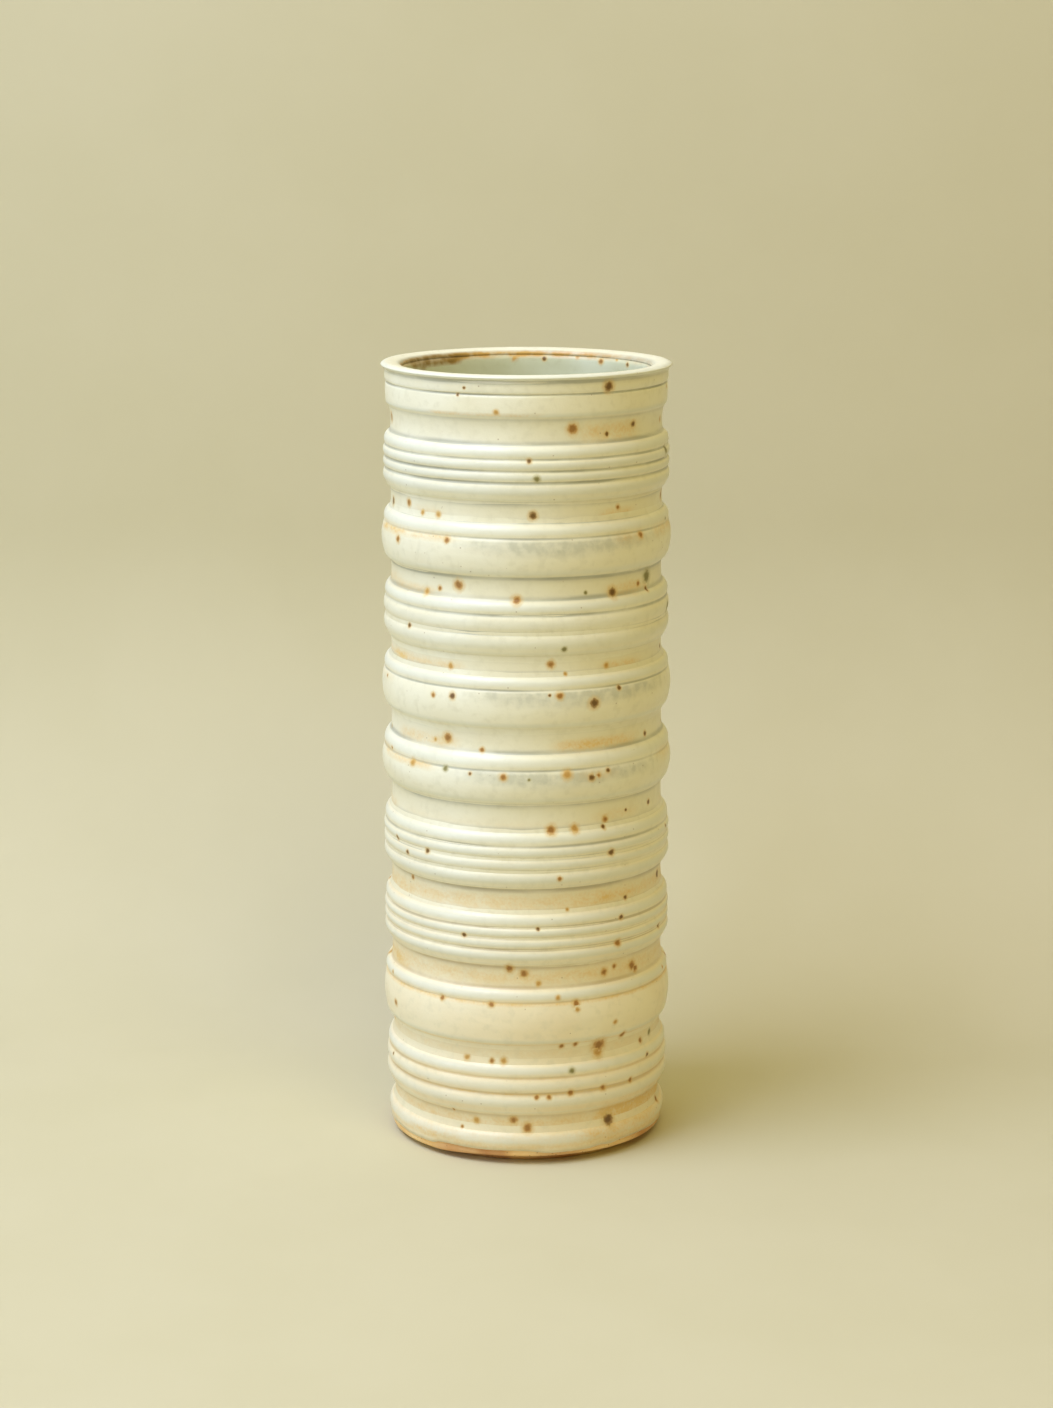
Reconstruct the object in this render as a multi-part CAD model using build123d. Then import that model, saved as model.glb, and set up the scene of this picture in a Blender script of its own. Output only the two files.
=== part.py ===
from build123d import *
import os

# A wheel-thrown stoneware vase: a straight cylinder whose outside is turned into
# collars and reeded bands, with narrow hollow waists between them. One fired clay
# body carries two glaze skins, one outside and one inside, that meet at the lip.
# Millimetres, +Z up. The origin is the centre of the foot, on the plane it stands on.

# Driving dimensions.
height = 230.6              # foot plane to the crest of the lip
glaze_thickness = 0.45      # both fired glaze skins
glaze_line_z = 5.0          # the outer glaze stops here and leaves a bare clay foot
bore_radius = 36.0          # glazed inside radius of the straight wall
floor_z = 9.5               # glazed top of the floor inside
floor_corner_radius = 12.0

# The foot: a bare band, cut back underneath to the ring it stands on, with a
# shallow recess inside that ring.
foot_band_radius = 40.7     # bare clay, flush with the clay under the glaze
foot_band_z = 3.2           # where the band's vertical face starts
foot_edge = (40.0, 2.5)     # the small bevel under the band ends here
undercut_end = (36.4, 1.9)  # the underside rises a little on its way out from here
foot_radius = 35.6          # outside of the ring it stands on
foot_bead_z = 5.9           # a short straight edge of glaze, then the bead
foot_bead_top_z = 10.0
foot_bead_top_radius = 39.9
recess_radius = 29.0
recess_depth = 1.6
recess_slope = 2.0          # the recess narrows by this much on its way up

# Shared sizes of the turned decoration. A crown is how far an arc swells.
reed_crown = 0.75           # crest of a reed above the grooves beside it
reed_edge_crown = 0.3       # the rounded lower edge of a reeded band
collar_crown = 0.55
collar_edge_rise = 2.6      # height of a collar's rounded lower edge
collar_edge_crown = 0.45
collar_taper = 0.1          # a collar's upper edge stands proud of its lower edge
groove_depth = 0.9          # of the groove under a collar's bead
groove_rise = 0.7           # height of the groove's lower flank
groove_crown = 0.1
bead_crown = 0.95           # the convex shoulder that ends each band at its top
waist_hollow = 0.2
rim_hollow = 0.5            # the longer hollow under the rim band

# The lip, as radii and as drops from its crest.
lip_edge_radius = 42.4      # the widest part of the rim
lip_edge_drop = 0.9
lip_root_radius = 41.15
lip_root_drop = 2.1
lip_crest_radius = 40.4
lip_shoulder_radius = 37.7
lip_shoulder_drop = 0.45
lip_inner_radius = 36.3
lip_inner_drop = 2.0
bore_top_drop = 4.0         # the straight bore starts here, under the lip's inner edge

# An outline is a list of stations, from the foot up. Each station is
# (radius, z, bulge): an arc runs to it from the station before, swelling away
# from the axis by bulge, or hollow where bulge is below zero.


def foot_bead():
    """The rolled edge of the outer glaze, just above the bare clay."""
    return [
        (foot_band_radius + glaze_thickness, glaze_line_z, 0.0),
        (foot_band_radius + glaze_thickness, foot_bead_z, 0.0),
        (foot_bead_top_radius, foot_bead_top_z, bead_crown),
    ]


def reed_band(z_low, grooves, z_high, radius, waist):
    """Convex reeds that meet in narrow grooves, under a rounded shoulder."""
    valley = radius - reed_crown
    stations = [(waist, z_low, -waist_hollow), (valley, grooves[0], reed_edge_crown)]
    for groove_z in grooves[1:]:
        stations.append((valley, groove_z, reed_crown))
    stations.append((waist, z_high, bead_crown))
    return stations


def collar(z_low, groove_z, z_high, radius, waist):
    """A broad swelling collar with one groove, and a bead above it."""
    edge = radius - collar_crown
    return [
        (waist, z_low, -waist_hollow),
        (edge, z_low + collar_edge_rise, collar_edge_crown),
        (edge + collar_taper, groove_z - groove_rise, collar_crown),
        (radius - groove_depth, groove_z, groove_crown),
        (waist, z_high, bead_crown),
    ]


def rim_band():
    """The plain band under the lip: a long hollow, a small step and one fine groove."""
    return [
        (40.15, 218.3, -rim_hollow),
        (40.9, 219.2, groove_crown),
        (41.0, 224.6, groove_crown),
        (40.6, 225.0, 0.0),
        (41.1, 225.4, 0.0),
        (lip_root_radius, height - lip_root_drop, groove_crown),
    ]


def lip():
    """A thin edge that flares out, with a gently domed top and a rounded inner edge."""
    return [
        (lip_edge_radius, height - lip_edge_drop, -0.12),
        (lip_crest_radius, height, 0.28),
        (lip_shoulder_radius, height - lip_shoulder_drop, 0.05),
        (lip_inner_radius, height - lip_inner_drop, 0.35),
    ]


outside = (
    foot_bead()
    + reed_band(14.9, (17.1, 21.8, 26.6), 30.8, radius=42.1, waist=40.0)
    + collar(36.2, 49.4, 53.4, radius=42.7, waist=40.5)
    + reed_band(60.1, (61.8, 65.4, 68.8, 71.9), 76.0, radius=42.4, waist=40.4)
    + reed_band(83.1, (84.6, 88.6, 92.4, 95.9), 100.1, radius=42.4, waist=40.2)
    + collar(108.1, 118.1, 122.9, radius=42.7, waist=40.1)
    + collar(129.8, 141.4, 145.4, radius=42.5, waist=40.0)
    + reed_band(150.9, (152.6, 157.6, 162.9), 167.0, radius=41.9, waist=39.8)
    + collar(173.4, 184.6, 188.9, radius=42.3, waist=39.7)
    + reed_band(194.8, (196.3, 200.4, 203.6, 206.9), 210.8, radius=41.8, waist=39.8)
    + rim_band()
    + lip()
)


def arcs(stations):
    """The arcs and straight runs through the stations, in the XZ plane."""
    edges = []
    for (r0, z0, _), (r1, z1, bulge) in zip(stations, stations[1:]):
        if bulge == 0:
            edges.append(Line((r0, z0), (r1, z1)))
        else:
            edges.append(SagittaArc((r0, z0), (r1, z1), -bulge))
    return edges


def chain(*points):
    """Straight runs through the points."""
    return [Line(a, b) for a, b in zip(points, points[1:])]


def region(r0, z0, r1, z1):
    """A rectangle of the XZ plane, from its lowest corner to its highest."""
    return Pos((r0 + r1) / 2, (z0 + z1) / 2) * Rectangle(r1 - r0, z1 - z0)


def turned(profile):
    """The solid that the profile sweeps round the vertical axis."""
    return revolve(Plane.XZ * profile, Axis.Z)


# The glazed half section. It runs a little past the axis and below the foot, so
# that setting it back by the glaze's thickness leaves those two sides alone.
margin = 6.0
lip_inner_z = height - lip_inner_drop
corner_top = (bore_radius, floor_z + floor_corner_radius)
corner_end = (bore_radius - floor_corner_radius, floor_z)
wall_foot_radius = foot_band_radius + glaze_thickness
bore = chain((lip_inner_radius, lip_inner_z), (bore_radius, height - bore_top_drop), corner_top)
corner = [RadiusArc(corner_top, corner_end, floor_corner_radius)]
closing = chain(
    corner_end,
    (-margin, floor_z),
    (-margin, -margin),
    (wall_foot_radius, -margin),
    (wall_foot_radius, glaze_line_z),
)
glazed_section = make_face(arcs(outside) + bore + corner + closing)
clay_section = offset(glazed_section, -glaze_thickness)

# The bare foot is what is left above the standing plane, less an undercut and a recess.
reach = foot_band_radius + margin
foot_undercut = make_face(chain(
    (foot_radius, 0),
    undercut_end,
    foot_edge,
    (foot_band_radius, foot_band_z),
    (reach, foot_band_z),
    (reach, -margin),
    (foot_radius, -margin),
    (foot_radius, 0),
))
foot_recess = make_face(chain(
    (0, recess_depth),
    (recess_radius - recess_slope, recess_depth),
    (recess_radius, 0),
    (recess_radius, -margin),
    (0, -margin),
    (0, recess_depth),
))
above_standing_plane = region(0, 0, reach, height)
above_glaze_line = region(0, glaze_line_z, reach, height)
inside_of_lip = region(0, glaze_line_z, lip_inner_radius + 2 * glaze_thickness, lip_inner_z)

clay = (clay_section & above_standing_plane) - foot_undercut - foot_recess
glaze = (glazed_section - clay_section) & above_glaze_line

nodes = {
    "stoneware_body": turned(clay),
    "outer_glaze": turned(glaze - inside_of_lip),
    "liner_glaze": turned(glaze & inside_of_lip),
}

os.makedirs("parts", exist_ok=True)
for name, solid in nodes.items():
    solid.label = name
    export_step(solid, f"parts/{name}.step")
    print(name, round(solid.volume), "mm3")
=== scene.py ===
import math

import bpy
import numpy as np
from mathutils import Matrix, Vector


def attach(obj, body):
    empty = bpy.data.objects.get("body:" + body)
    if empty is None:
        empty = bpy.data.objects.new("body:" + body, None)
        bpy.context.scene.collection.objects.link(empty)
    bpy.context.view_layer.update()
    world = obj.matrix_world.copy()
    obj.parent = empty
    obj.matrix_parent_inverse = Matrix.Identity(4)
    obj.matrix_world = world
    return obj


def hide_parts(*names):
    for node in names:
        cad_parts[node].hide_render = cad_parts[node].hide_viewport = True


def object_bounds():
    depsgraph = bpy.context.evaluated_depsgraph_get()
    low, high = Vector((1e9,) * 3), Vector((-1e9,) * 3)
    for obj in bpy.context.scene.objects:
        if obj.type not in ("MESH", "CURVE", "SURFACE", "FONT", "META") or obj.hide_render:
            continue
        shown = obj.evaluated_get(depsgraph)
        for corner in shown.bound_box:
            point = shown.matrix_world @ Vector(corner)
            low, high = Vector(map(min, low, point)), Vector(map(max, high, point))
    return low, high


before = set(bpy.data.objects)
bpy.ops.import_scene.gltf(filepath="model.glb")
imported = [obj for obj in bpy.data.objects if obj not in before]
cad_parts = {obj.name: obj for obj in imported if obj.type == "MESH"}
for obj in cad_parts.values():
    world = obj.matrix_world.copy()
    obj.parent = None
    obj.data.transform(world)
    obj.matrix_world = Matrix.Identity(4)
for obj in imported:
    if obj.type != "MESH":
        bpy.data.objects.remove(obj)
cad_low, cad_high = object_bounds()

# ---------------------------------------------------------------- sizes
# Lengths are millimetres of the vase as it was designed, and MM turns them
# into the frame's metres. Angles are degrees round the axis from the front
# (-Y), positive towards the right (+X).

HEIGHT = 230.6
MM = (cad_high.z - cad_low.z) / HEIGHT
GLAZE = 0.45
GLAZE_LINE = 5.0
BORE = 36.0
FLOOR = 9.5
FLOOR_CORNER = 12.0

AROUND = 240            # columns of the glaze meshes
CLAY_AROUND = 192
OUTER_ROWS = 340        # rows of the outer glaze that show
HIDDEN_ROWS = 58        # rows of its face against the clay
LINER_ROWS = 200
CLAY_ROWS = 380
SAMPLE = 0.05           # spacing of the outline before rows are chosen
CENTRE = 0.05           # the sections stop just short of the axis
MELT = 0.16             # reach of the rounding that melting gives the outer glaze


# ---------------------------------------------------------------- outline
# Stations are (radius, z, bulge), from the foot up, as the design has them:
# an arc runs to each one from the one before, swelling outwards by bulge.

REED_CROWN = 0.75
COLLAR_CROWN = 0.55
BEAD_CROWN = 0.95
WAIST_HOLLOW = 0.2


def reed_band(z_low, grooves, z_high, radius, waist):
    """Convex reeds that meet in narrow grooves, under a rounded shoulder."""
    valley = radius - REED_CROWN
    stations = [(waist, z_low, -WAIST_HOLLOW), (valley, grooves[0], 0.3)]
    for groove_z in grooves[1:]:
        stations.append((valley, groove_z, REED_CROWN))
    stations.append((waist, z_high, BEAD_CROWN))
    return stations


def collar(z_low, groove_z, z_high, radius, waist):
    """A broad swelling collar with one groove, and a bead above it."""
    edge = radius - COLLAR_CROWN
    return [
        (waist, z_low, -WAIST_HOLLOW),
        (edge, z_low + 2.6, 0.45),
        (edge + 0.1, groove_z - 0.7, COLLAR_CROWN),
        (radius - 0.9, groove_z, 0.1),
        (waist, z_high, BEAD_CROWN),
    ]


OUTSIDE = (
    [(41.15, GLAZE_LINE, 0.0), (41.15, 5.9, 0.0), (39.9, 10.0, BEAD_CROWN)]
    + reed_band(14.9, (17.1, 21.8, 26.6), 30.8, radius=42.1, waist=40.0)
    + collar(36.2, 49.4, 53.4, radius=42.7, waist=40.5)
    + reed_band(60.1, (61.8, 65.4, 68.8, 71.9), 76.0, radius=42.4, waist=40.4)
    + reed_band(83.1, (84.6, 88.6, 92.4, 95.9), 100.1, radius=42.4, waist=40.2)
    + collar(108.1, 118.1, 122.9, radius=42.7, waist=40.1)
    + collar(129.8, 141.4, 145.4, radius=42.5, waist=40.0)
    + reed_band(150.9, (152.6, 157.6, 162.9), 167.0, radius=41.9, waist=39.8)
    + collar(173.4, 184.6, 188.9, radius=42.3, waist=39.7)
    + reed_band(194.8, (196.3, 200.4, 203.6, 206.9), 210.8, radius=41.8, waist=39.8)
    + [
        (40.15, 218.3, -0.5),
        (40.9, 219.2, 0.1),
        (41.0, 224.6, 0.1),
        (40.6, 225, 0.0),
        (41.1, 225.4, 0.0),
        (41.15, 228.5, 0.1),
        (42.4, 229.7, -0.12),
        (40.4, 230.6, 0.28),
        (37.7, 230.15, 0.05),
        (36.3, 228.6, 0.35),
    ]
)


def arc(start, end, bulge, step=SAMPLE):
    """Points on the arc from start to end, without its first point."""
    start = np.array(start, float)
    end = np.array(end, float)
    chord = end - start
    length = float(np.hypot(*chord))
    count = max(2, int(length / step))
    along = np.linspace(0.0, 1.0, count + 1)[1:]
    if abs(bulge) < 1e-6:
        return start + along[:, None] * chord
    half = 2.0 * math.atan(2.0 * abs(bulge) / length)
    radius = length / 2.0 / math.sin(half)
    turn = half * (2.0 * along - 1.0)
    across = (np.cos(turn) - math.cos(half)) * radius * math.copysign(1.0, bulge)
    outward = np.array([chord[1], -chord[0]]) / length
    forward = (np.sin(turn) / math.sin(half) + 1.0) / 2.0
    return start + forward[:, None] * chord + across[:, None] * outward


def outline(stations):
    """The points of an outline, close together, from its stations."""
    points = [np.array([stations[0][:2]], float)]
    for (r0, z0, _), (r1, z1, bulge) in zip(stations, stations[1:]):
        points.append(arc((r0, z0), (r1, z1), bulge))
    return np.concatenate(points)


def lengths(points):
    """Distance along the points from the first one."""
    steps = np.hypot(*np.diff(points, axis=0).T)
    return np.concatenate([[0.0], np.cumsum(steps)])


def resampled(points, step=SAMPLE):
    """The same line with evenly spaced points."""
    s = lengths(points)
    even = np.linspace(0.0, s[-1], int(s[-1] / step) + 1)
    return np.stack([np.interp(even, s, points[:, k]) for k in range(2)], 1)


def softened(values, reach, step=SAMPLE):
    """A running average with bell-shaped weights. reach is its spread in mm."""
    half = int(4 * reach / step)
    bell = np.exp(-0.5 * (np.arange(-half, half + 1) * step / reach) ** 2)
    bell /= bell.sum()
    first = 2 * values[0] - values[1:half + 1][::-1]
    last = 2 * values[-1] - values[-half - 1:-1][::-1]
    return np.convolve(np.concatenate([first, values, last]), bell, "valid")


def rounded(points, reach):
    """The line with its corners rounded as a melted glaze rounds them."""
    return np.stack([softened(points[:, k], reach) for k in range(2)], 1)


def set_back(points, distance):
    """The line moved inwards, square to itself."""
    tangent = np.gradient(points, axis=0)
    tangent /= np.hypot(*tangent.T)[:, None]
    return points - distance * np.stack([tangent[:, 1], -tangent[:, 0]], 1)


def rows_on(points, count, closeness=2.5):
    """Indices of count points, packed closer where the line bends."""
    tangent = np.gradient(points, axis=0)
    heading = np.unwrap(np.arctan2(tangent[:, 1], tangent[:, 0]))
    bend = softened(np.abs(np.gradient(heading)) / SAMPLE, 0.3)
    need = np.cumsum(1.0 + closeness * np.minimum(bend, 1.5))
    need = (need - need[0]) / (need[-1] - need[0])
    wanted = np.linspace(0.0, 1.0, count)
    return np.unique(np.round(np.interp(wanted, need, np.arange(len(points)))).astype(int))


# ---------------------------------------------------------------- hand-made variation

def eased(x, low, high):
    """0 below low, 1 above high, and smooth between."""
    t = np.clip((x - low) / (high - low), 0.0, 1.0)
    return t * t * (3.0 - 2.0 * t)


def waves(angle, height, seed, around, upward, count=10):
    """Smooth random relief between about -1 and 1 that closes on itself round the axis.
    around and upward are its finest detail: waves per turn and radians per mm."""
    random = np.random.default_rng(seed)
    total = np.zeros(np.broadcast(angle, height).shape)
    for _ in range(count):
        turns = random.integers(1, around + 1)
        climb = random.uniform(-upward, upward)
        total += np.sin(turns * angle + climb * height + random.uniform(0, 2 * math.pi))
    return total / math.sqrt(count)


def thrown(radius, height, angle):
    """Where a point of the turned form ends up on the real, hand-thrown one. The offsets
    keep it inside the design's box: it is a little smaller on the whole, and no taller."""
    steady = np.clip(height / 6.0, 0.0, 1.0)    # the foot stays flat on the table
    full = np.clip(radius / 40.0, 0.0, 1.0)     # and the axis stays where it is
    out_of_round = 0.08 * (waves(angle, height, 11, 3, 0.02, 5) - 1.8)
    wander = 0.09 * (waves(angle, height, 12, 4, 0.05, 7) - 1.5 * eased(height, 190.0, HEIGHT))
    return radius + full * out_of_round, np.minimum(height + steady * wander, HEIGHT)


# ---------------------------------------------------------------- meshes

def turned_mesh(name, radius, height, angle):
    """A closed mesh of rows (round the section) by columns (round the axis), in metres."""
    rows, columns = radius.shape
    points = np.stack([radius * np.sin(angle), -radius * np.cos(angle), height], -1) * MM
    index = np.arange(rows * columns).reshape(rows, columns)
    right = np.roll(index, -1, axis=1)
    quads = np.stack([index, right, np.roll(right, -1, axis=0), np.roll(index, -1, axis=0)], -1)
    mesh = bpy.data.meshes.new(name)
    mesh.from_pydata(points.reshape(-1, 3).tolist(), [], quads.reshape(-1, 4).tolist())
    mesh.shade_smooth()
    obj = bpy.data.objects.new(name, mesh)
    bpy.context.scene.collection.objects.link(obj)
    return obj


def add_attribute(obj, name, values):
    """A number for each vertex, which a material can read."""
    layer = obj.data.attributes.new(name, "FLOAT", "POINT")
    layer.data.foreach_set("value", np.ascontiguousarray(values, np.float32).ravel())


def wrap_uv(obj, line, columns, shown_rows):
    """A plain unwrapping round the axis. The rows that show get most of its height."""
    steps = np.hypot(*np.diff(np.concatenate([line, line[:1]]), axis=0).T)
    shown = np.arange(len(line)) < shown_rows - 1
    share = 0.93
    scale = np.where(shown, share / steps[shown].sum(), (0.99 - share) / steps[~shown].sum())
    v = np.concatenate([[0.0], np.cumsum(steps * scale)])
    u = np.arange(columns + 1) / columns
    uv = np.zeros((len(line), columns, 4, 2), np.float32)
    uv[:, :, (0, 3), 0] = u[None, :-1, None]
    uv[:, :, (1, 2), 0] = u[None, 1:, None]
    uv[:, :, (0, 1), 1] = v[:-1, None, None]
    uv[:, :, (2, 3), 1] = v[1:, None, None]
    layer = obj.data.uv_layers.new(name="OFBake")
    layer.data.foreach_set("uv", uv.ravel())


# ---------------------------------------------------------------- iron spots

DARK, RUST, ORANGE, OLIVE = 0.0, 0.4, 0.8, -0.5

# (angle, height, diameter, tone), as they sit on the front of the vase.
FRONT_SPOTS = [
    # rim band
    (34, 226.6, 3.0, DARK), (19, 215.1, 3.1, RUST), (50, 215.1, 1.9, DARK), (35, 213.1, 1.4, DARK),
    (-12, 220.1, 1.4, ORANGE), (-28, 224.6, 0.9, DARK), (-25, 226.6, 0.9, DARK),
    # upper reeds and the waist under them
    (1, 206.6, 1.4, DARK), (4, 201.6, 1.7, OLIVE), (2.5, 191.1, 2.3, DARK), (-58, 192.1, 2.1, RUST),
    (-39, 190.1, 1.7, ORANGE), (-48, 190.1, 1.4, ORANGE), (41, 192.1, 1.4, RUST),
    # first collar and the waist under it
    (-32.5, 183.6, 1.8, RUST), (-60.5, 181.6, 2.1, RUST), (51, 183.6, 1.9, RUST),
    (-29, 170.6, 2.9, RUST), (-38.5, 169.1, 1.4, RUST), (-45.5, 167.6, 1.9, ORANGE),
    (-4, 167.2, 2.5, RUST), (38, 168, 2.8, DARK), (61, 170.6, 3.6, OLIVE), (54, 169.1, 1.5, RUST),
    (59.5, 167.1, 1.4, DARK), (25, 168.6, 1.0, OLIVE),
    # second reeds and waist
    (-54, 157.1, 1.4, DARK), (15, 153.1, 1.4, OLIVE), (10, 148.6, 2.2, RUST), (-33, 147.1, 1.7, ORANGE),
    (35, 147.1, 1.6, ORANGE), (16, 145.8, 1.0, ORANGE),
    # second collar and waist
    (-30, 139.1, 1.9, DARK), (-39, 138.6, 1.4, RUST), (13, 139.9, 2.0, RUST), (27, 137.2, 2.9, DARK),
    (39, 140.6, 1.4, DARK), (9, 140.2, 0.8, DARK), (-34.5, 126.1, 2.7, RUST), (-18.5, 123.6, 1.5, RUST),
    (-41, 125, 1.1, ORANGE), (59.5, 124.6, 1.5, DARK),
    # third collar and waist
    (-33.5, 117.6, 1.6, OLIVE), (-22.5, 117, 1.0, DARK), (-9, 116.5, 2.0, RUST), (16, 117, 2.6, ORANGE),
    (26, 115.7, 1.9, DARK), (29, 116.1, 1.3, RUST), (33.5, 117.1, 1.3, DARK), (-51, 117.4, 1.9, ORANGE),
    (1, 115.9, 0.8, OLIVE), (10, 100.6, 2.7, RUST), (20, 100.6, 2.4, ORANGE), (34.5, 102.2, 1.9, RUST),
    (33, 100.1, 1.3, DARK), (46, 103.6, 0.9, DARK), (63, 103.6, 1.5, DARK),
    # third reeds and waist
    (-63.5, 93.1, 1.5, DARK), (-43, 92.2, 1.5, DARK), (-55, 90.1, 1.4, DARK), (35.5, 92.6, 1.9, DARK),
    (13, 86.6, 1.4, RUST), (-56, 82.1, 1.4, RUST), (45.5, 77.6, 1.4, DARK), (17, 76.8, 1.0, ORANGE),
    # fourth reeds and waist
    (-25.5, 69.1, 1.4, DARK), (4.5, 71.8, 1.0, DARK), (41, 72.6, 1.5, DARK), (39, 65.1, 2.0, RUST),
    (68, 65.6, 1.5, DARK), (-7, 59.6, 2.4, RUST), (-1, 58.1, 2.4, RUST), (5, 55.1, 1.6, ORANGE),
    (34, 56.6, 2.2, RUST), (39.5, 57.6, 1.5, RUST), (50, 56.4, 2.8, RUST), (52, 55.2, 2.2, RUST),
    # fourth collar and waist
    (12.5, 51.1, 1.4, ORANGE), (-35.5, 49.1, 1.6, RUST), (-14, 49.1, 1.7, RUST), (20, 49, 2.0, RUST),
    (20.3, 47.2, 1.4, ORANGE), (-65, 42.6, 1.8, RUST), (37.5, 41.6, 1.4, ORANGE), (43, 36.6, 2.0, RUST),
    (14.5, 36, 1.5, RUST), (20.5, 36.2, 1.5, RUST), (31.5, 34.6, 4.1, RUST), (31.2, 32.6, 3.0, ORANGE),
    (-25.5, 31.6, 1.7, ORANGE), (-14.5, 31.4, 1.5, RUST), (-9.5, 31.6, 1.9, ORANGE), (57, 32.1, 1.7, RUST),
    (65.5, 33.1, 1.8, OLIVE),
    # fifth reeds, foot waist and foot
    (18.5, 28.6, 1.7, OLIVE), (59, 27.6, 1.5, DARK), (18, 21.9, 1.8, RUST), (32.5, 22, 1.8, RUST),
    (47, 22.1, 1.6, RUST), (4, 21.2, 1.4, RUST), (9, 21.1, 1.4, RUST), (-28, 10.2, 1.0, RUST),
    (-21.5, 12.6, 1.9, ORANGE), (-32, 15, 0.9, RUST), (-5.5, 13.6, 2.4, RUST), (0.5, 11.3, 2.8, RUST),
    (37, 11.1, 3.6, DARK),
]

SEEN_FROM_FRONT = 66.0    # the listed spots end here, and scattered ones go on round the back
SPOT_SEARCH = 14.0        # a spot is looked for within this height of a face
FAR_AWAY = 9.0            # stands for no spot at all, in spot radii
LEDGES = (10.1, 31.1, 49.1, 53.6, 76.1, 100.6, 117.1, 123.4, 139.6, 145.6, 167.6, 183.1, 189.6, 212.6)


def scattered_spots(seed, count):
    """Spots for the part of the vase that the list leaves out, most of them on the ledges."""
    random = np.random.default_rng(seed)
    spots = []
    while len(spots) < count:
        angle = random.uniform(SEEN_FROM_FRONT + 3, 360 - SEEN_FROM_FRONT - 3)
        if random.random() < 0.6:
            height = random.choice(LEDGES) + random.uniform(-0.5, 3.5)
        else:
            height = random.uniform(8, 226)
        size = 1.0 + 2.4 * random.random() ** 2.5
        tone = random.choice([DARK, RUST, ORANGE, OLIVE], p=[0.3, 0.4, 0.2, 0.1])
        crowded = any(
            math.hypot((angle - a) * 0.73, height - h) < 1.5 * (size + s) for a, h, s, _ in spots
        )
        if not crowded:
            spots.append((angle, height, size, tone))
    return spots


def mark_spots(obj, angle, height, spots, radius):
    """Gives each face corner its place relative to the nearest spot, in spot radii,
    with the spot's tone. A face's corners all name the same spot, so that the
    spots stay round and crisp however large the faces are."""
    rows, columns = angle.shape
    step = 2 * math.pi / columns
    right = np.roll(height, -1, axis=1)
    above_right, above = np.roll(right, -1, axis=0), np.roll(height, -1, axis=0)
    face_angle = np.stack([angle, angle + step, angle + step, angle], -1)
    face_height = np.stack([height, right, above_right, above], -1)
    a = np.radians([s[0] for s in spots])
    h = np.array([s[1] for s in spots])
    r = np.array([s[2] / 2 for s in spots])
    tone = np.array([s[3] for s in spots])
    corners = np.zeros((rows, columns, 4, 4), np.float32)
    corners[:, :, :, 0] = FAR_AWAY
    for row in range(rows):
        near = np.abs(h - face_height[row].mean()) < SPOT_SEARCH
        if not near.any():
            continue
        na, nh, nr, nt = a[near], h[near], r[near], tone[near]
        turn = (face_angle[row].mean(axis=1)[:, None] - na + math.pi) % (2 * math.pi) - math.pi
        rise = face_height[row].mean(axis=1)[:, None] - nh
        best = (np.hypot(turn * radius, rise) - nr).argmin(axis=1)
        turn = (face_angle[row] - na[best][:, None] + math.pi) % (2 * math.pi) - math.pi
        corners[row, :, :, 0] = turn * radius / nr[best][:, None]
        corners[row, :, :, 1] = (face_height[row] - nh[best][:, None]) / nr[best][:, None]
        corners[row, :, :, 2] = nt[best][:, None]
        corners[row, :, :, 3] = 1.0
    layer = obj.data.attributes.new("spot", "FLOAT_COLOR", "CORNER")
    layer.data.foreach_set("color", corners.ravel())


# (angle, height, diameter, tone) of the few specks inside, near the lip.
INNER_SPOTS = [
    (171.5, 227.4, 1.4, DARK), (155, 228.1, 1.2, ORANGE), (142, 227.3, 1.7, RUST),
    (132, 228.3, 1.0, ORANGE), (124, 227.1, 1.3, DARK), (-170, 219, 1.2, RUST),
    (-60, 222, 1.6, RUST), (20, 214, 1.4, DARK), (65, 205, 1.8, ORANGE), (-110, 190, 1.5, DARK),
]


# ---------------------------------------------------------------- stains

# (first angle, last angle, height, spread up and down, strength) of the toasted patches.
STAINS = [
    (24, 52, 213.9, 2.4, 0.75), (-52, -38, 190.2, 1.2, 0.7), (33, 50, 190.4, 1.2, 0.8),
    (-42, 4, 219.2, 0.4, 0.7),
    (-80, -30, 184.0, 0.9, 0.7), (38, 54, 183.6, 1.6, 0.5), (-72, -40, 167.9, 1.0, 0.55),
    (36, 60, 168.6, 1.8, 0.7), (-74, -28, 147.2, 1.2, 0.6), (33, 54, 146.8, 1.3, 0.7),
    (-66, -30, 124.8, 1.6, 0.65), (12, 52, 124.8, 1.6, 0.75), (20, 40, 124.4, 1.2, 0.4),
    (-76, -40, 117.5, 1.0, 0.7), (22, 36, 116.4, 1.3, 0.45), (-60, 30, 102.1, 1.4, 0.12),
    (30, 52, 103.1, 1.6, 0.4), (20, 50, 79.2, 1.8, 0.25), (34, 80, 14.0, 2.0, 1.0),
    (-55, -30, 6.8, 0.6, 0.6), (22, 70, 8.0, 2.2, 0.5),
]

# Toasted rings that go all the way round: height, spread up and down, strength.
RINGS = [
    (79.0, 2.3, 0.65), (56.8, 2.3, 0.65), (49.2, 0.5, 0.8), (36.5, 0.4, 0.6), (33.8, 2.2, 0.3),
    (26.6, 0.4, 0.45), (21.9, 0.4, 0.6), (17.1, 0.4, 0.3), (12.4, 2.4, 0.65), (8.4, 1.6, 0.25),
    (5.6, 0.8, 0.6),
]

# Painted shade under a collar's groove, partly grey glaze that gathers there: groove height, first and
# last angle.
GATHERS_AND_SHADE = [
    (184.2, -20, 60), (141.0, -16, 64), (117.8, -24, 58),
    (184.2, 130, 200), (141.0, 110, 235), (117.8, 150, 250),
]


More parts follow.
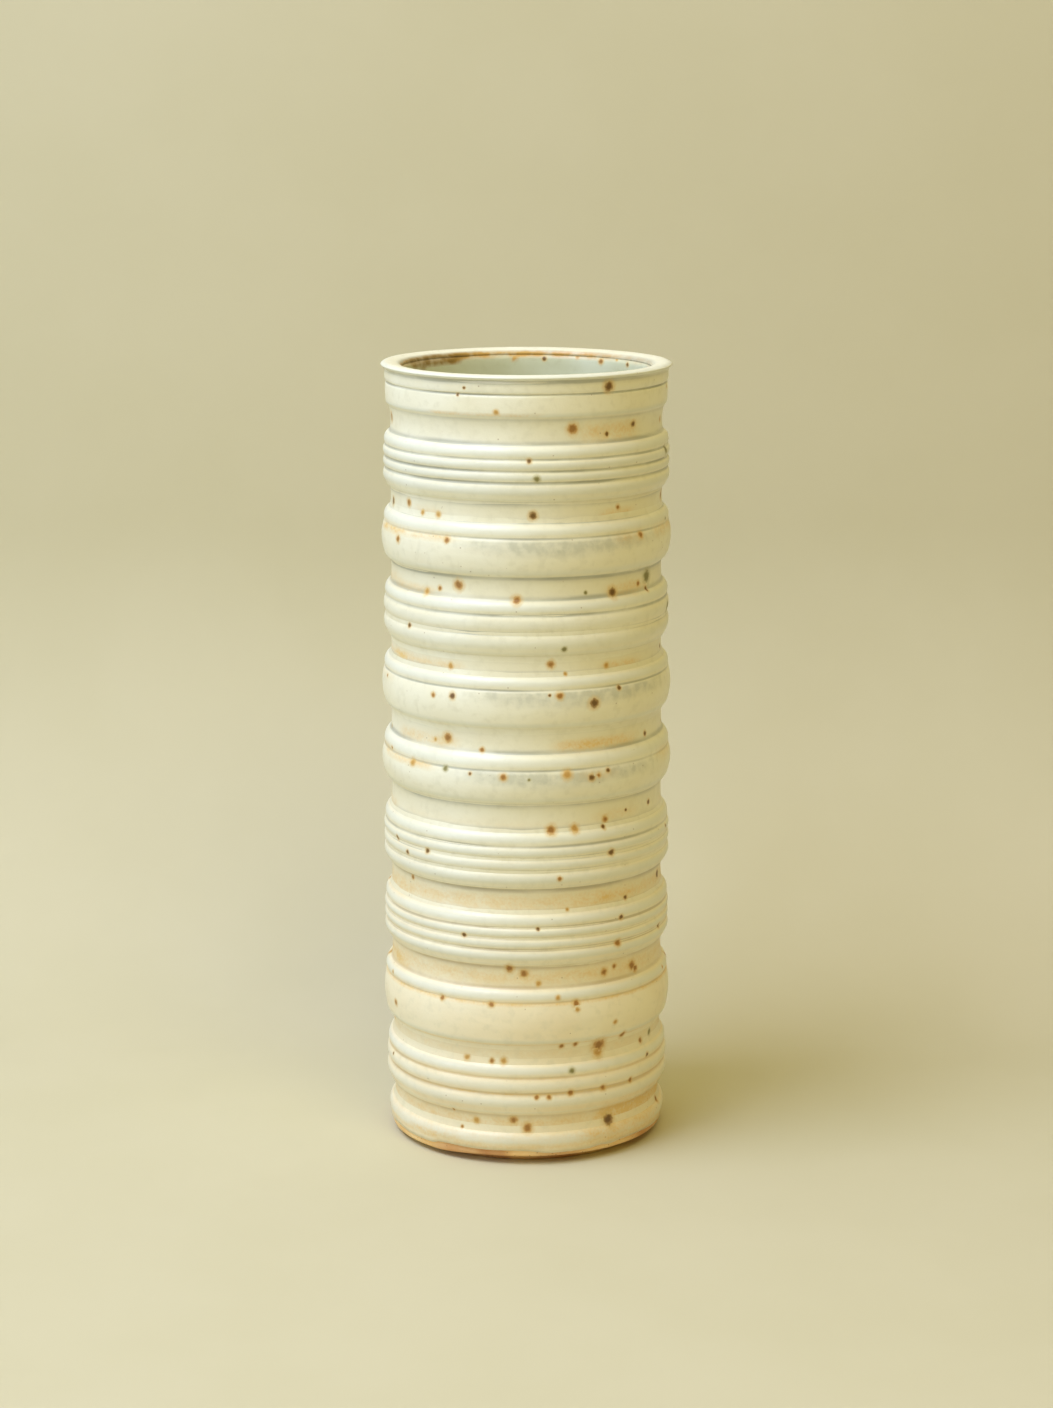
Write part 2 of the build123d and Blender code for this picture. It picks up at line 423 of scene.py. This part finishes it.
# Where the outer glaze ran further down the foot: first and last angle, softness of the
# ends, and drop in mm.
RUNS = [
    (-84, -42, 4, 1.8), (-44, 38, 4, 1.3), (5, 30, 5, 0.6), (36, 78, 5, 1.4),
    (110, 150, 8, 1.1), (195, 250, 8, 1.5),
]


def apart(angle, middle):
    """Degrees round the axis from a middle, the short way."""
    return np.abs((np.degrees(angle) - middle + 180) % 360 - 180)


def between(angle, first, last, soft):
    """1 from the first angle to the last, and 0 outside them. Degrees, with soft ends."""
    half = (last - first) / 2
    return 1.0 - eased(apart(angle, first + half), half - soft, half + soft)


def stain_map(angle, height, seed):
    """How toasted the glaze is at each point: the listed patches, and others like
    them where the front isn't."""
    random = np.random.default_rng(seed)
    patches = list(STAINS)
    for ledge in LEDGES:
        start = 60.0 + random.uniform(0, 60)
        while start < 285:
            width = random.uniform(15, 60)
            patches.append((start, min(start + width, 300), ledge + random.uniform(0.5, 2.0),
                            random.uniform(0.9, 1.8), random.uniform(0.25, 0.7)))
            start += width + random.uniform(20, 70)
    total = np.zeros(angle.shape)
    for first, last, z, spread, strength in patches:
        total += strength * between(angle, first, last, 5) * np.exp(-((height - z) / spread) ** 2)
    for z, spread, strength in RINGS:
        total += strength * np.exp(-((height - z) / spread) ** 2)
    return np.clip(total, 0.0, 1.2)


def gather_and_shade_map(angle, height):
    """How much grey lies at each point under the collars' grooves: partly thicker glaze, partly painted
    shade.
    """
    reach = 4.6 + 1.1 * waves(angle, np.zeros_like(height), 25, 7, 0.0, 6)
    total = np.zeros(angle.shape)
    for top, first, last in GATHERS_AND_SHADE:
        under = eased(top + 0.2 - height, 0.0, 0.6) * (1.0 - eased(top - height, 0.3 * reach, reach))
        total += between(angle, first, last, 18) * under
    return np.clip(total, 0.0, 1.0)


def lip_toast(angle, height):
    """How brown the thin glaze has fired along the lip's inner edge, and how much of
    that is darkened, burned in part and painted shade in part. It is widest and darkest at the
    left of the back, where the inner wall lies in shade."""
    dark = 1.0 - eased(apart(angle, -128), 4.0, 36.0)
    warm = 1.0 - eased(apart(angle, -155), 30.0, 100.0)
    drip = np.exp(-(apart(angle, -174) / 2.2) ** 2)
    ragged = 0.35 * waves(angle, np.zeros_like(height), 26, 24, 0.0, 10)
    low_edge = 228.2 - 1.7 * dark - 1.7 * drip + ragged
    amount = eased(height, low_edge - 0.5, low_edge + 0.5) * (1.0 - eased(height, 229.2, 229.9))
    return amount * np.clip(0.25 + 0.75 * warm, 0.0, 1.0), amount * dark


# ---------------------------------------------------------------- the three pieces

def outer_line():
    """The glazed outside, from its lower edge over the foot to the lip's inner edge."""
    return rounded(resampled(outline(OUTSIDE)), MELT)


def bore_line():
    """The glazed inside, from the lip's inner edge down to the floor's centre."""
    corner_bulge = -FLOOR_CORNER * (1 - math.sqrt(0.5))
    return resampled(outline([
        (36.3, 228.6, 0.0),
        (BORE, 226.6, 0.0),
        (BORE, FLOOR + FLOOR_CORNER, 0.0),
        (BORE - FLOOR_CORNER, FLOOR, corner_bulge),
        (CENTRE, FLOOR, 0.0),
    ]))


# How far the outline stands out from a close average of itself, which finds grooves and
# crests, and how far that stands out from a wide one, which finds the waists.
outer = outer_line()
close_average = softened(outer[:, 0], 1.1)
relief = outer[:, 0] - close_average
hollow = close_average - softened(outer[:, 0], 9.0)


def spread_round(line, columns):
    """Radius, height and angle of every vertex of a section turned round the axis."""
    around = np.arange(columns) * (2 * math.pi / columns)
    radius, height, angle = np.broadcast_arrays(line[:, :1], line[:, 1:], around[None])
    return radius.copy(), height.copy(), angle.copy()


def build_outer_glaze():
    """The visible glaze as a closed skin, fine outside and plain where it meets the clay."""
    shown = rows_on(outer, OUTER_ROWS)
    hidden = rows_on(rounded(outer, 1.0), HIDDEN_ROWS, 0.5)[::-1]
    line = np.concatenate([outer[shown], set_back(outer, GLAZE)[hidden]])
    radius, height, angle = spread_round(line, AROUND)
    visible = (np.arange(len(line)) < len(shown)).astype(float)[:, None]

    def per_row(values):
        full = np.zeros((len(line), 1))
        full[:len(shown), 0] = np.clip(values[shown], 0.0, 1.0)
        return full

    # Grooves where the glaze pools, darkened further with painted shade, with two fine lines of painted
    # shade under the lip, and the crests, dimmed with painted shade.
    wall = outer[:, 0] > 39.0
    lip_shade_lines = np.exp(-((outer[:, 1] - 228.7) / 0.42) ** 2)
    lip_shade_lines += 0.8 * np.exp(-((outer[:, 1] - 225.0) / 0.3) ** 2)
    pool_and_shade = per_row(-relief / 0.26 + wall * lip_shade_lines)
    crest_tint_and_shade = per_row(relief / 0.25)
    # The waists, where the material paints shade into the recesses.
    waist = per_row(-hollow / 1.2)

    # The glaze lies thicker in some stretches of a groove than in others, and ripples a
    # little. Its lower edge runs down further in some places.
    fill = waves(angle, height, 21, 5, 0.4)
    ripple = waves(angle, height, 22, 26, 0.7, 24)
    radius = radius + visible * (0.10 * fill * pool_and_shade + 0.018 * ripple)
    radius, height = thrown(radius, height, angle)
    run = 0.8 + 0.3 * waves(angle, angle, 23, 14, 0.0, 10)
    for first, last, soft, drop in RUNS:
        run = run - drop * between(angle, first, last, soft)
    edge = 1.0 - eased(line[:, 1:], GLAZE_LINE, GLAZE_LINE + 3.2)
    height = height + edge * np.clip(run, -1.3, 1.2)

    obj = turned_mesh("glaze_outside", radius, height, angle)
    add_attribute(obj, "pool_and_shade", pool_and_shade * np.ones_like(radius))
    add_attribute(obj, "crest_tint_and_shade", crest_tint_and_shade * np.ones_like(radius))
    add_attribute(obj, "waist", waist * np.ones_like(radius))
    add_attribute(obj, "stain", stain_map(angle, height, 31) * visible)
    add_attribute(obj, "gather_and_shade", gather_and_shade_map(angle, height) * visible)
    toast, burnt_and_shaded = lip_toast(angle, height)
    inner_edge = visible * (line[:, :1] < 38.3)
    add_attribute(obj, "toast", toast * inner_edge)
    add_attribute(obj, "burnt_and_shaded", burnt_and_shaded * inner_edge)
    mark_spots(obj, angle, height, FRONT_SPOTS + scattered_spots(41, 150), 41.0)
    wrap_uv(obj, line, AROUND, len(shown))
    return obj


def lining(inner):
    """The clay's surface behind the liner glaze."""
    along = np.gradient(inner, axis=0)
    square = np.stack([-along[:, 1], along[:, 0]], 1) / np.hypot(*along.T)[:, None]
    return inner + GLAZE * square


def build_liner():
    """The glaze inside, with the faint spiral that the thrower's fingers leave."""
    inner = bore_line()
    shown = rows_on(inner, LINER_ROWS, 0.5)
    line = np.concatenate([inner[shown], lining(inner)[shown[::2][::-1]]])
    radius, height, angle = spread_round(line, AROUND)
    visible = (np.arange(len(line)) < len(shown)).astype(float)[:, None]
    spiral = np.sin(height * (2 * math.pi / 6.5) + angle) * np.clip((226 - height) / 10, 0, 1)
    spiral = 0.14 * spiral + 0.02 * waves(angle, height, 24, 18, 0.5, 20)
    whorl = np.sin(radius * (2 * math.pi / 5.0) + angle) * eased(radius, 1.0, 6.0)
    on_wall = eased(radius, 30.0, 35.0)
    wall_relief = visible * on_wall * spiral
    floor_relief = visible * (1.0 - on_wall) * 0.15 * whorl
    radius, height = thrown(radius + wall_relief, height + floor_relief, angle)
    obj = turned_mesh("glaze_inside", radius, height, angle)
    toast, burnt_and_shaded = lip_toast(angle, height)
    add_attribute(obj, "toast", toast * visible)
    add_attribute(obj, "burnt_and_shaded", burnt_and_shaded * visible)
    mark_spots(obj, angle, height, INNER_SPOTS, BORE)
    wrap_uv(obj, line, AROUND, len(shown))
    return obj


def build_clay():
    """The clay: bare at the foot, and hidden by the glazes above it."""
    under = set_back(outer, GLAZE)
    foot = outline([
        (CENTRE, 1.6, 0.0), (27.0, 1.6, 0.0), (29.0, 0.0, 0.0), (35.6, 0.0, 0.0),
        (36.4, 1.9, 0.0), (40.0, 2.5, 0.0), (40.7, 3.2, 0.2), (40.75, 5.9, 0.05),
    ])
    start = np.argmax(under[:, 1] > 6.0)
    line = rounded(resampled(np.concatenate([foot, under[start:], lining(bore_line())])), 0.15)
    line = line[rows_on(line, CLAY_ROWS, 1.5)]
    line[:, 1] = np.maximum(line[:, 1], 0.0)
    radius, height, angle = spread_round(line, CLAY_AROUND)
    radius, height = thrown(radius, height, angle)
    # The foot's lower edge hangs a little lower at the left.
    edge = eased(line[:, 1:], 0.3, 1.9) * (1.0 - eased(line[:, 1:], 3.4, 6.0)) * (radius > 30.0)
    height = height - 0.9 * edge * between(angle, -110, -28, 14)
    obj = turned_mesh("clay_body", radius, height, angle)
    rust = 0.9 * between(angle, -20, -8, 3) + 0.7 * np.clip(waves(angle, height, 27, 9, 0.2), 0, 1)
    add_attribute(obj, "rust", np.clip(rust, 0.0, 1.0))
    bare_rows = int(np.argmax(line[:, 1] > 6.5))
    wrap_uv(obj, line, CLAY_AROUND, bare_rows)
    return obj


# ---------------------------------------------------------------- materials

def srgb(red, green, blue):
    """A colour given as it looks on a screen, 0 to 255, in the linear values that nodes use."""
    values = [v / 255 for v in (red, green, blue)]
    linear = [v / 12.92 if v <= 0.04045 else ((v + 0.055) / 1.055) ** 2.4 for v in values]
    return (*linear, 1.0)


class Nodes:
    """Short names for the nodes that make up a material."""

    def __init__(self, name):
        self.material = bpy.data.materials.new(name)
        self.material.use_nodes = True
        self.tree = self.material.node_tree
        self.tree.nodes.clear()
        output = self.tree.nodes.new("ShaderNodeOutputMaterial")
        self.shader = self.tree.nodes.new("ShaderNodeBsdfPrincipled")
        self.tree.links.new(self.shader.outputs[0], output.inputs["Surface"])
        place = self.tree.nodes.new("ShaderNodeTexCoord").outputs["Object"]
        self.place = self.vector("SCALE", place, scale=1.0 / MM)

    def feed(self, value, socket):
        if isinstance(value, bpy.types.NodeSocket):
            self.tree.links.new(value, socket)
        else:
            socket.default_value = value

    def vector(self, operation, a, b=None, scale=None):
        node = self.tree.nodes.new("ShaderNodeVectorMath")
        node.operation = operation
        self.feed(a, node.inputs[0])
        if b is not None:
            self.feed(b, node.inputs[1])
        if scale is not None:
            self.feed(scale, node.inputs["Scale"])
        return node.outputs["Value" if operation == "LENGTH" else "Vector"]

    def math(self, operation, a, b=0.0, clamp=False):
        node = self.tree.nodes.new("ShaderNodeMath")
        node.operation = operation
        node.use_clamp = clamp
        self.feed(a, node.inputs[0])
        self.feed(b, node.inputs[1])
        return node.outputs[0]

    def eased(self, value, low, high):
        """0 at low, 1 at high, and smooth between; high may be under low."""
        node = self.tree.nodes.new("ShaderNodeMapRange")
        node.interpolation_type = "SMOOTHSTEP"
        if low <= high:
            span, ends = (low, high), (0.0, 1.0)
        else:
            span, ends = (high, low), (1.0, 0.0)
        self.feed(value, node.inputs["Value"])
        node.inputs["From Min"].default_value, node.inputs["From Max"].default_value = span
        node.inputs["To Min"].default_value, node.inputs["To Max"].default_value = ends
        return node.outputs["Result"]

    def mix(self, factor, a, b, blend="MIX"):
        node = self.tree.nodes.new("ShaderNodeMix")
        node.data_type = "RGBA"
        node.blend_type = blend
        self.feed(factor, node.inputs["Factor"])
        self.feed(a, node.inputs[6])
        self.feed(b, node.inputs[7])
        return node.outputs[2]

    def noise(self, detail_mm, stretch=(1.0, 1.0, 1.0), octaves=3.0, shift=0.0):
        """Cloudy noise about 0.5, with features about detail_mm across."""
        node = self.tree.nodes.new("ShaderNodeTexNoise")
        moved = self.vector("ADD", self.vector("MULTIPLY", self.place, stretch), (shift,) * 3)
        self.feed(moved, node.inputs["Vector"])
        node.inputs["Scale"].default_value = 1.0 / detail_mm
        node.inputs["Detail"].default_value = octaves
        return node.outputs["Fac"]

    def cells(self, size_mm):
        """Scattered points about size_mm apart: distance to the nearest in mm, and its lot."""
        node = self.tree.nodes.new("ShaderNodeTexVoronoi")
        self.feed(self.place, node.inputs["Vector"])
        node.inputs["Scale"].default_value = 1.0 / size_mm
        split = self.tree.nodes.new("ShaderNodeSeparateColor")
        self.feed(node.outputs["Color"], split.inputs[0])
        return self.math("MULTIPLY", node.outputs["Distance"], size_mm), split.outputs[0]

    def attribute(self, name):
        node = self.tree.nodes.new("ShaderNodeAttribute")
        node.attribute_type = "GEOMETRY"
        node.attribute_name = name
        return node

    def bump(self, height, depth_mm, under=None):
        node = self.tree.nodes.new("ShaderNodeBump")
        node.inputs["Distance"].default_value = depth_mm * MM
        self.feed(height, node.inputs["Height"])
        if under is not None:
            self.feed(under, node.inputs["Normal"])
        return node.outputs["Normal"]


def spotted(n, colour):
    """Iron spots over a colour: a dark heart in a brown ring that bleeds out into tan."""
    spot = n.attribute("spot")
    parts = n.tree.nodes.new("ShaderNodeSeparateXYZ")
    n.feed(spot.outputs["Vector"], parts.inputs[0])
    flat = n.tree.nodes.new("ShaderNodeCombineXYZ")
    n.feed(parts.outputs[0], flat.inputs[0])
    n.feed(parts.outputs[1], flat.inputs[1])
    away = n.vector("LENGTH", flat.outputs[0])
    ragged = n.math("MULTIPLY", n.math("SUBTRACT", n.noise(1.1, octaves=3.0, shift=43.0), 0.5), 0.9)
    away = n.math("ADD", away, ragged)
    tone = parts.outputs[2]
    rust, orange = n.eased(tone, -0.1, 0.4), n.eased(tone, 0.4, 0.8)
    olive = n.eased(tone, -0.1, -0.5)
    heart = n.mix(rust, srgb(90, 60, 14), srgb(150, 102, 38))
    heart = n.mix(olive, n.mix(orange, heart, srgb(194, 148, 74)), srgb(128, 122, 66))
    ring = n.mix(rust, srgb(146, 110, 52), srgb(198, 152, 82))
    ring = n.mix(olive, n.mix(orange, ring, srgb(214, 176, 104)), srgb(150, 142, 90))
    halo = n.mix(olive, srgb(220, 188, 116), srgb(188, 180, 124))
    colour = n.mix(n.math("MULTIPLY", n.eased(away, 2.0, 0.9), 0.6), colour, halo)
    ring_amount = n.math("MULTIPLY", n.eased(away, 1.15, 0.7), 0.85)
    colour = n.mix(ring_amount, colour, ring)
    colour = n.mix(n.math("MULTIPLY", n.eased(away, 0.8, 0.35), 0.82), colour, heart)
    return colour, ring_amount


def toasted(n, colour):
    """The thin glaze of the lip's inner edge: orange, and darker brown in places, burned in part and
    painted shade in part.
    """
    torn = n.math("ADD", n.eased(n.noise(4.0, octaves=3.0, shift=31.0), 0.3, 0.7), 0.45)
    toast = n.attribute("toast").outputs["Fac"]
    burnt_and_shaded = n.attribute("burnt_and_shaded").outputs["Fac"]
    colour = n.mix(n.math("MULTIPLY", toast, torn, clamp=True), colour, srgb(208, 164, 88))
    # The darker brown is partly burned glaze and partly painted shade.
    burnt_and_shaded = n.math("MULTIPLY", burnt_and_shaded, n.math("ADD", torn, 0.1), clamp=True)
    return n.mix(n.math("MULTIPLY", burnt_and_shaded, 0.85), colour, srgb(124, 98, 40))


def glaze_material():
    """Cream iron-spotted glaze: cooler and dimmed with painted shade on the crests, grey in the grooves
    from pooling and painted shade, with painted shade under the collars' grooves and in the waists,
    toasted on ledges.
    """
    n = Nodes("iron_spotted_glaze")
    split = n.tree.nodes.new("ShaderNodeSeparateXYZ")
    n.feed(n.place, split.inputs[0])
    up = split.outputs[2]
    cloud = n.eased(n.noise(26.0, octaves=3.0), 0.35, 0.65)
    streak = n.noise(9.0, stretch=(0.35, 0.35, 2.2), octaves=4.0, shift=7.0)
    mottle = n.noise(2.6, octaves=5.0, shift=61.0)
    fine = n.noise(1.3, octaves=3.0, shift=3.0)
    grain = n.noise(0.45, octaves=2.0, shift=13.0)
    high = n.mix(cloud, srgb(244, 242, 219), srgb(241, 237, 209))
    low = n.mix(cloud, srgb(246, 238, 207), srgb(243, 231, 196))
    colour = n.mix(n.eased(up, 30.0, 120.0), low, high)
    streaked = n.math("MULTIPLY", n.eased(streak, 0.45, 0.75), 0.25)
    colour = n.mix(streaked, colour, srgb(228, 220, 190))
    colour = n.mix(n.math("MULTIPLY", n.eased(mottle, 0.48, 0.72), 0.25), colour, srgb(210, 206, 176))

    # The waists: darker and warmer, painted shade in the recessed bands.
    waist = n.attribute("waist").outputs["Fac"]
    colour = n.mix(n.math("MULTIPLY", waist, 0.3), colour, srgb(234, 228, 198))
    # The crests: a cooler grey-white, partly the glaze's own tint and partly painted shade that dims their
    # highlights.
    crest_tint_and_shade = n.attribute("crest_tint_and_shade").outputs["Fac"]
    colour = n.mix(n.math("MULTIPLY", n.eased(crest_tint_and_shade, 0.1, 0.8), 0.7), colour, srgb(226, 229, 214))

    # Grey in the grooves and under the lip: partly glaze that pools there, partly painted shade in the
    # creases.
    cover = n.math("ADD", n.eased(streak, 0.3, 0.7), 0.35)
    pool_and_shade = n.math("MULTIPLY", n.eased(n.attribute("pool_and_shade").outputs["Fac"], 0.1, 0.9), cover, clamp=True)
    high_up = n.eased(up, 50.0, 110.0)
    pool_and_shade = n.math("MULTIPLY", pool_and_shade, n.math("ADD", n.math("MULTIPLY", high_up, 0.2), 0.42))
    colour = n.mix(pool_and_shade, colour, n.mix(high_up, srgb(172, 142, 88), srgb(146, 150, 136)))
    # Grey under the collars' grooves: partly glaze that gathers thick, partly painted shade.
    gather_and_shade = n.attribute("gather_and_shade").outputs["Fac"]
    gathered_and_shaded = n.math("MULTIPLY", gather_and_shade, n.math("ADD", n.eased(mottle, 0.2, 0.8), 0.4), clamp=True)
    colour = n.mix(n.math("MULTIPLY", gathered_and_shaded, 0.6), colour, srgb(184, 186, 164))

    rag = n.eased(n.noise(3.2, (0.7, 0.7, 1.2), 4.0, 21.0), 0.3, 0.7)
    fleck = n.eased(n.noise(0.8, octaves=2.0, shift=81.0), 0.4, 0.65)
    torn = n.math("ADD", n.math("MULTIPLY", rag, 0.55), n.math("MULTIPLY", fleck, 0.35))
    torn = n.math("ADD", torn, 0.35)
    stained = n.math("MULTIPLY", n.attribute("stain").outputs["Fac"], torn, clamp=True)
    stained = n.math("MULTIPLY", stained, 0.85)
    colour = n.mix(stained, colour, srgb(230, 194, 116))
    colour = toasted(n, colour)
    colour, core_amount = spotted(n, colour)

    # A dust of specks, too small to count.
    distance, lot = n.cells(2.6)
    speck = n.math("MULTIPLY", n.eased(distance, 0.3, 0.12), n.eased(lot, 0.78, 0.82))
    colour = n.mix(n.math("MULTIPLY", speck, 0.5), colour, srgb(150, 120, 72))

    rough = n.math("ADD", 0.28, n.math("MULTIPLY", fine, 0.12))
    rough = n.math("ADD", rough, n.math("MULTIPLY", core_amount, 0.15))
    rough = n.math("ADD", rough, n.math("MULTIPLY", stained, 0.15))
    n.feed(colour, n.shader.inputs["Base Color"])
    n.feed(rough, n.shader.inputs["Roughness"])
    n.shader.inputs["IOR"].default_value = 1.5
    normal = n.bump(grain, 0.02)
    normal = n.bump(fine, 0.05, normal)
    normal = n.bump(n.noise(5.0, shift=51.0), 0.12, normal)
    normal = n.bump(core_amount, 0.06, normal)
    n.feed(normal, n.shader.inputs["Normal"])
    return n.material


def liner_material():
    """Pale grey-green liner, toasted where it thins at the lip, with painted shade on that toast at the
    left of the back.
    """
    n = Nodes("liner_glaze")
    cloud = n.noise(18.0, octaves=3.0, shift=5.0)
    colour = n.mix(n.eased(cloud, 0.35, 0.65), srgb(219, 222, 196), srgb(211, 213, 182))
    mottle = n.noise(2.2, octaves=4.0, shift=71.0)
    colour = n.mix(n.math("MULTIPLY", n.eased(mottle, 0.5, 0.75), 0.25), colour, srgb(190, 188, 150))
    colour = toasted(n, colour)
    colour, _ = spotted(n, colour)
    n.feed(colour, n.shader.inputs["Base Color"])
    n.feed(n.math("ADD", 0.3, n.math("MULTIPLY", cloud, 0.12)), n.shader.inputs["Roughness"])
    n.feed(n.bump(n.noise(6.0, shift=2.0), 0.08), n.shader.inputs["Normal"])
    return n.material


def clay_material():
    """Bare fired stoneware: toasted tan, with turning marks, grog and rust patches."""
    n = Nodes("bare_stoneware")
    cloud = n.noise(9.0, octaves=4.0, shift=9.0)
    colour = n.mix(n.eased(cloud, 0.35, 0.65), srgb(252, 220, 160), srgb(244, 202, 134))
    rust = n.math("MULTIPLY", n.attribute("rust").outputs["Fac"], n.math("ADD", cloud, 0.4), clamp=True)
    colour = n.mix(n.math("MULTIPLY", rust, 0.9), colour, srgb(196, 132, 80))
    distance, lot = n.cells(1.1)
    grog = n.math("MULTIPLY", n.eased(distance, 0.3, 0.12), n.eased(lot, 0.6, 0.7))
    colour = n.mix(n.math("MULTIPLY", grog, 0.5), colour, srgb(150, 104, 60))
    turning = n.noise(0.8, stretch=(0.04, 0.04, 1.0), octaves=3.0, shift=4.0)
    colour = n.mix(n.math("MULTIPLY", n.eased(turning, 0.45, 0.7), 0.15), colour, srgb(206, 156, 98))
    n.feed(colour, n.shader.inputs["Base Color"])
    n.shader.inputs["Roughness"].default_value = 0.82
    normal = n.bump(turning, 0.1)
    normal = n.bump(n.noise(0.5, octaves=4.0), 0.06, normal)
    n.feed(normal, n.shader.inputs["Normal"])
    return n.material


PIECES = (
    (build_outer_glaze, glaze_material, "outer_glaze", "outer_glaze"),
    (build_liner, liner_material, "liner_glaze", "liner_glaze"),
    (build_clay, clay_material, "stoneware_body", "stoneware_clay"),
)
for build, make_material, node, slot in PIECES:
    piece = build()
    piece.data.materials.append(make_material())
    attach(piece, "root")
    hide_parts(node)


# ---------------------------------------------------------------- stage
# The paper sheet, in metres from the axis and from the standing plane.

SHEET_FRONT = -2.5
SHEET_FLAT_END = 0.069     # behind the axis, where it starts to sweep up
SHEET_BEND = 0.15          # radius of the sweep
SHEET_STEPS = 24
SHEET_TOP = 2.2
SHEET_HALF_WIDTH = 2.5


def paper_material():
    """Plain pale paper."""
    n = Nodes("pale_paper")
    n.shader.inputs["Roughness"].default_value = 0.95
    n.shader.inputs["Specular IOR Level"].default_value = 0.2
    tint = n.mix(n.eased(n.noise(60.0), 0.3, 0.7), srgb(208, 202, 172), srgb(206, 200, 169))
    n.feed(tint, n.shader.inputs["Base Color"])

    # Its back is clear to the camera, so that it doesn't hide the vase in views from
    # behind or below. To light it is the same sheet on both sides.
    nodes, links = n.tree.nodes, n.tree.links
    facing = nodes.new("ShaderNodeNewGeometry").outputs["Backfacing"]
    seen = nodes.new("ShaderNodeLightPath").outputs["Is Camera Ray"]
    sheet = nodes.new("ShaderNodeMixShader")
    n.feed(n.math("MULTIPLY", facing, seen), sheet.inputs["Fac"])
    links.new(n.shader.outputs[0], sheet.inputs[1])
    links.new(nodes.new("ShaderNodeBsdfTransparent").outputs[0], sheet.inputs[2])
    links.new(sheet.outputs[0], nodes["Material Output"].inputs["Surface"])
    return n.material


def build_stage():
    """A sheet of paper that lies flat under the vase and sweeps up behind it."""
    profile = [(SHEET_FRONT, 0.0), (SHEET_FLAT_END, 0.0)]
    for k in range(1, SHEET_STEPS + 1):
        turn = math.radians(90 * k / SHEET_STEPS)
        back = SHEET_FLAT_END + SHEET_BEND * math.sin(turn)
        profile.append((back, SHEET_BEND * (1 - math.cos(turn))))
    profile.append((SHEET_FLAT_END + SHEET_BEND, SHEET_TOP))
    verts = [
        (x, y, z + cad_low.z) for y, z in profile for x in (-SHEET_HALF_WIDTH, SHEET_HALF_WIDTH)
    ]
    faces = [(2 * k, 2 * k + 1, 2 * k + 3, 2 * k + 2) for k in range(len(profile) - 1)]
    mesh = bpy.data.meshes.new("backdrop")
    mesh.from_pydata(verts, [], faces)
    mesh.shade_smooth()
    backdrop = bpy.data.objects.new("backdrop", mesh)
    backdrop.data.materials.append(paper_material())
    bpy.context.scene.collection.objects.link(backdrop)


build_stage()


# ---------------------------------------------------------------- light

LIGHT_DISTANCE = 1.4       # metres from the middle of the vase
ROOM_COLOUR = (1.0, 0.7, 0.2, 1.0)
ROOM_STRENGTH = 0.336


def soft_box(name, azimuth, elevation, size, watts):
    """A square soft box that faces the middle of the vase. Its size is in metres, and watts
    is its red, green and blue. Azimuth 0 is the front, and positive is to the right."""
    a, e = math.radians(azimuth), math.radians(elevation)
    middle = Vector((0, 0, (cad_low.z + cad_high.z) / 2))
    towards = Vector((math.sin(a) * math.cos(e), -math.cos(a) * math.cos(e), math.sin(e)))
    data = bpy.data.lights.new(name, "AREA")
    data.shape = "SQUARE"
    data.size = size
    data.energy = max(watts)
    data.color = [part / max(watts) for part in watts]
    lamp = bpy.data.objects.new(name, data)
    lamp.location = middle + towards * LIGHT_DISTANCE
    lamp.rotation_euler = towards.to_track_quat("Z", "Y").to_euler()
    bpy.context.scene.collection.objects.link(lamp)


soft_box("window", -60, 60, 0.8, (11.0, 12.3, 16.6))
soft_box("window_low", -60, 14, 0.5, (1.9, 2.7, 3.8))
soft_box("window_front", -28, 42, 0.6, (1.8, 2.4, 3.6))
soft_box("room_front", 20, 54, 0.7, (4.8, 4.4, 2.0))

world = bpy.data.worlds.new("room")
world.use_nodes = True
background = world.node_tree.nodes["Background"]
background.inputs["Color"].default_value = ROOM_COLOUR
background.inputs["Strength"].default_value = ROOM_STRENGTH
bpy.context.scene.world = world
bpy.context.scene.view_settings.view_transform = "Standard"


# ---------------------------------------------------------------- camera

CAMERA_DISTANCE = 913.9    # mm from the axis, level
CAMERA_HEIGHT = 322.7      # mm above the standing plane
CAMERA_DOWN = 11.97        # degrees below level
CAMERA_LENS = 80.8         # mm, for the sensor's long side
CAMERA_SENSOR = 36.0

camera_data = bpy.data.cameras.new("camera")
camera_data.lens = CAMERA_LENS
camera_data.sensor_width = CAMERA_SENSOR
camera = bpy.data.objects.new("camera", camera_data)
camera.location = (0.0, -CAMERA_DISTANCE * MM, cad_low.z + CAMERA_HEIGHT * MM)
camera.rotation_euler = (math.radians(90 - CAMERA_DOWN), 0.0, 0.0)
bpy.context.scene.collection.objects.link(camera)
bpy.context.scene.camera = camera
